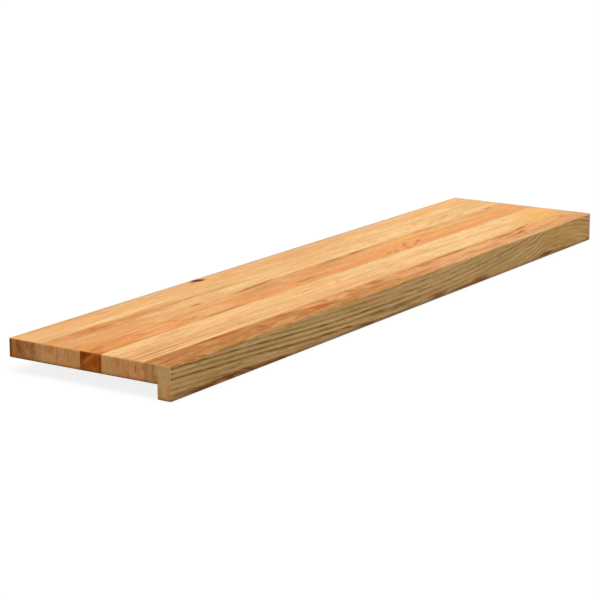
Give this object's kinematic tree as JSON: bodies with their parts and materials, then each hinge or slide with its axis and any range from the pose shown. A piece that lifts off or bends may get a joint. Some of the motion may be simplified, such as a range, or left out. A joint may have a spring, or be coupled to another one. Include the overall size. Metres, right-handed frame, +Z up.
{
  "type": "laminated oak stair tread",
  "caption": "Straight oak stair tread: a panel of glued staves with a deeper nose strip along its front that hangs down over the step.",
  "frame": {"origin": "middle of the outline seen from above, level with the underside of the nose strip", "axes": "+X along the tread and its grain, -Y towards the nose (the front of the step), +Y towards the riser above, +Z up"},
  "size_m": [0.9, 0.2, 0.035],
  "materials": {
    "panel_oak": "sanded and oiled, satin",
    "nose_oak": "sanded and oiled, satin"
  },
  "bodies": {
    "root": {"stave_1": "panel_oak", "stave_2": "panel_oak", "stave_3": "panel_oak", "stave_4": "panel_oak", "stave_5": "panel_oak", "stave_6": "panel_oak", "stave_7": "panel_oak", "nose_strip": "nose_oak"}
  },
  "joints": []
}
